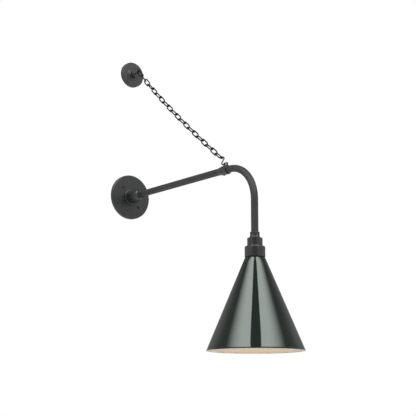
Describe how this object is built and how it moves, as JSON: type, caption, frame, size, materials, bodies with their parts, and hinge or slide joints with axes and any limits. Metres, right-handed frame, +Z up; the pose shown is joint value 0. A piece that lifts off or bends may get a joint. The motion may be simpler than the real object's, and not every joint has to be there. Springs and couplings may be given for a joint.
{
  "type": "barn light",
  "caption": "Wall-mounted barn light: straight arm and gooseneck with a black cone shade, held up by a stay chain from a second round wall plate.",
  "frame": {"origin": "centre of the canopy's screw circle, on the wall plane behind the canopy", "axes": "+Y into the wall, -Y along the arm, +Z up, X = 0 the middle plane"},
  "size_m": [0.279, 0.816, 1.0221],
  "materials": {
    "charcoal_coat_on_steel": "matte",
    "charcoal_coat_on_cast_aluminium": "matte",
    "gloss_black_enamel": "gloss",
    "black_foam_rubber": "matte",
    "black_oxide_steel": "satin",
    "green_zinc_steel": "satin",
    "bare_copper": "satin",
    "zinc_plated_steel": "satin",
    "white_glazed_porcelain": "gloss",
    "brass_contact": "satin",
    "black_lead_insulation": "matte",
    "white_lead_insulation": "matte"
  },
  "bodies": {
    "wall_mounting": {"wall_canopy": "charcoal_coat_on_cast_aluminium", "canopy_gasket": "black_foam_rubber", "canopy_screws": "charcoal_coat_on_steel", "canopy_set_screw": "black_oxide_steel", "ground_screw": "green_zinc_steel", "ground_wire": "bare_copper", "straight_arm": "charcoal_coat_on_steel", "arm_coupling": "charcoal_coat_on_cast_aluminium", "coupling_set_screw": "black_oxide_steel", "chain_plate": "charcoal_coat_on_cast_aluminium", "plate_hook": "charcoal_coat_on_steel"},
    "gooseneck_and_shade": {"gooseneck": "charcoal_coat_on_steel", "line_lead": "black_lead_insulation", "neutral_lead": "white_lead_insulation", "socket_cover": "charcoal_coat_on_cast_aluminium", "lampholder_nipple": "zinc_plated_steel", "lampholder_strap": "zinc_plated_steel", "nipple_locknut": "zinc_plated_steel", "lampholder_screws": "zinc_plated_steel", "lampholder_body": "white_glazed_porcelain", "screw_shell": "brass_contact", "centre_contact": "brass_contact", "shade_gasket": "black_foam_rubber", "shade": "gloss_black_enamel", "shade_ring": "zinc_plated_steel", "shade_ring_screws": "zinc_plated_steel"},
    "stay_chain": {"chain_link_01": "charcoal_coat_on_steel", "chain_link_02": "charcoal_coat_on_steel", "chain_link_03": "charcoal_coat_on_steel", "chain_link_04": "charcoal_coat_on_steel", "chain_link_05": "charcoal_coat_on_steel", "chain_link_06": "charcoal_coat_on_steel", "chain_link_07": "charcoal_coat_on_steel", "chain_link_08": "charcoal_coat_on_steel", "chain_link_09": "charcoal_coat_on_steel", "chain_link_10": "charcoal_coat_on_steel", "chain_link_11": "charcoal_coat_on_steel", "chain_link_12": "charcoal_coat_on_steel", "chain_link_13": "charcoal_coat_on_steel", "chain_link_14": "charcoal_coat_on_steel", "chain_link_15": "charcoal_coat_on_steel", "chain_link_16": "charcoal_coat_on_steel", "chain_link_17": "charcoal_coat_on_steel", "chain_link_18": "charcoal_coat_on_steel", "chain_link_19": "charcoal_coat_on_steel", "chain_link_20": "charcoal_coat_on_steel", "s_hook": "charcoal_coat_on_steel"}
  },
  "joints": [
    {"name": "gooseneck_turn", "type": "hinge", "parent": "wall_mounting", "child": "gooseneck_and_shade", "pos_m": [0, -0.511, 0], "axis": [0, 1, 0], "range_deg": [-90, 90]},
    {"name": "chain_sway", "type": "hinge", "parent": "wall_mounting", "child": "stay_chain", "pos_m": [0, -0.0423, 0.4378], "axis": [0, -0.7422, -0.6702], "range_deg": [-9, 9]}
  ]
}
